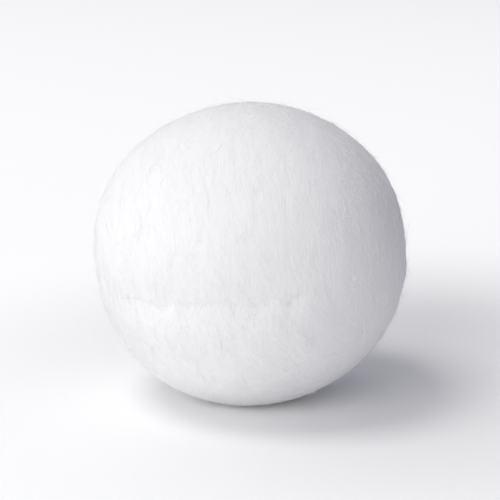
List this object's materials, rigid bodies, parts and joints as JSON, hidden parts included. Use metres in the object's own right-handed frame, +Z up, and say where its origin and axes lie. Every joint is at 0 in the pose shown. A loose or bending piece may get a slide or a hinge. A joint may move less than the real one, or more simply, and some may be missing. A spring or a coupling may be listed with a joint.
{
  "type": "cotton ball",
  "caption": "Soft white ball of rolled cotton fibre, with a lapped edge across the front, tucked ends and a small flat spot to rest on.",
  "frame": {"origin": "on the surface that the ball rests on, below the middle of its box", "axes": "+X to the right along the roll axis, as seen from the front; -Y out of the front, where the lap is; +Z up"},
  "size_m": [0.038, 0.037, 0.0362],
  "materials": {
    "cotton": "matt, loose bleached fibre"
  },
  "bodies": {
    "root": {"cotton_ball": "cotton"}
  },
  "joints": []
}
